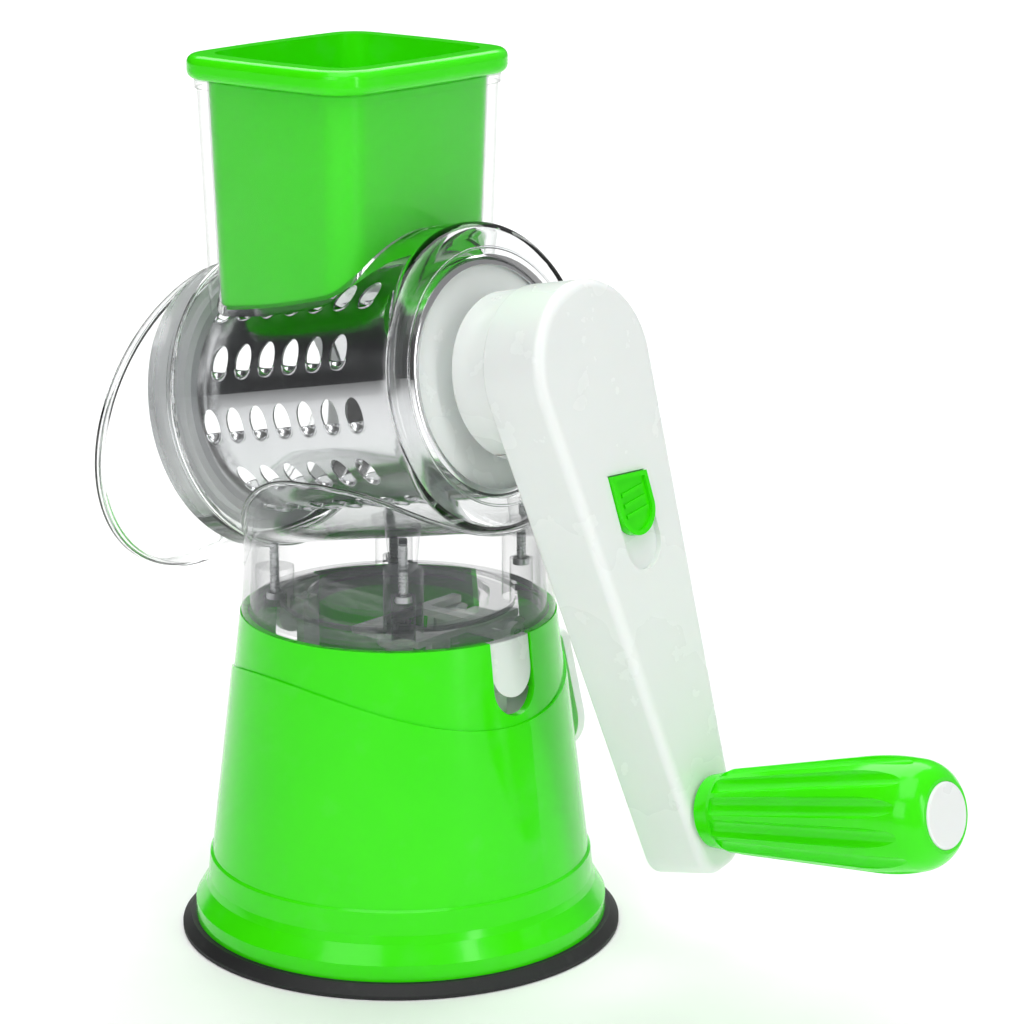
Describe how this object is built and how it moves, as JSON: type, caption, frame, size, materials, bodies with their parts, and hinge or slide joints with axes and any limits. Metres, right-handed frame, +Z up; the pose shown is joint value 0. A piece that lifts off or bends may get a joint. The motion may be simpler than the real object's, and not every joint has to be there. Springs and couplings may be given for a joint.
{
  "type": "rotary drum grater",
  "caption": "Hand-cranked rotary drum shredder with a clear feed chute and barrel, a lime green suction base, a green pusher and a perforated steel drum.",
  "frame": {"origin": "centre of the suction cup's flat underside, on the table", "axes": "+X towards the crank end of the drum, +Y towards the suction lever at the back, +Z up"},
  "size_m": [0.2533, 0.125, 0.2477],
  "materials": {
    "green_plastic": "moulded gloss",
    "white_plastic": "moulded gloss",
    "frosted_plastic": "frosted",
    "clear_plastic": "clear moulded",
    "drum_steel": "polished sheet",
    "screw_steel": "plated",
    "cup_rubber": "matt moulded"
  },
  "bodies": {
    "base": {"base_shell": "green_plastic", "suction_cup": "cup_rubber", "mechanism_carrier": "white_plastic", "stem_guide": "white_plastic", "carrier_screws": "screw_steel", "stem_spring": "screw_steel", "lever_pin": "screw_steel", "base_plate": "clear_plastic", "plate_screws": "screw_steel", "waist_cover": "clear_plastic", "drum_barrel": "clear_plastic", "outlet_flare": "clear_plastic", "feed_chute": "clear_plastic"},
    "lever": {"suction_lever": "white_plastic"},
    "stem": {"cup_stem": "white_plastic", "lift_yoke": "white_plastic", "yoke_nut": "screw_steel"},
    "pusher": {"pusher": "green_plastic"},
    "drum": {"drum_sleeve": "drum_steel", "drum_ring": "frosted_plastic", "drum_hub": "white_plastic"},
    "crank": {"crank_shell": "white_plastic", "crank_cover": "white_plastic", "cover_screws": "screw_steel", "drive_shaft": "white_plastic", "latch_spring": "screw_steel", "handle_axle": "screw_steel", "handle_screw": "screw_steel"},
    "latch": {"release_button": "green_plastic", "latch_hook": "white_plastic"},
    "grip": {"handle_grip": "green_plastic", "handle_cap": "white_plastic"}
  },
  "joints": [
    {"name": "crank_turn", "type": "hinge", "parent": "base", "child": "crank", "pos_m": [0, 0, 0.1565], "axis": [0.9781, 0, 0.2079], "continuous": true},
    {"name": "drum_turn", "type": "hinge", "parent": "base", "child": "drum", "pos_m": [0, 0, 0.1565], "axis": [0.9781, 0, 0.2079], "continuous": true},
    {"name": "grip_turn", "type": "hinge", "parent": "crank", "child": "grip", "pos_m": [0.0994, 0.01849, 0.04959], "axis": [0.9781, 0, 0.2079], "continuous": true},
    {"name": "release_slide", "type": "slide", "parent": "crank", "child": "latch", "axis": [0.2057, 0.1461, -0.9677], "range_m": [0, 0.006], "stiffness_N_per_m": 400, "springref_m": -0.003, "deforming": ["latch_spring"]},
    {"name": "pusher_lift", "type": "slide", "parent": "base", "child": "pusher", "axis": [0, 0, 1], "range_m": [0, 0.095]},
    {"name": "lever_swing", "type": "hinge", "parent": "base", "child": "lever", "pos_m": [0, 0.0335, 0.08], "axis": [1, 0, 0], "range_deg": [0, 40]},
    {"name": "stem_lift", "type": "slide", "parent": "base", "child": "stem", "axis": [0, 0, 1], "range_m": [0, 0.0025], "deforming": ["stem_spring", "suction_cup"]}
  ],
  "couplings": [
    {"joint": "drum_turn", "follows": "crank_turn", "ratio": 1},
    {"joint": "lever_swing", "follows": "stem_lift", "rad_per_m": 279.25}
  ]
}
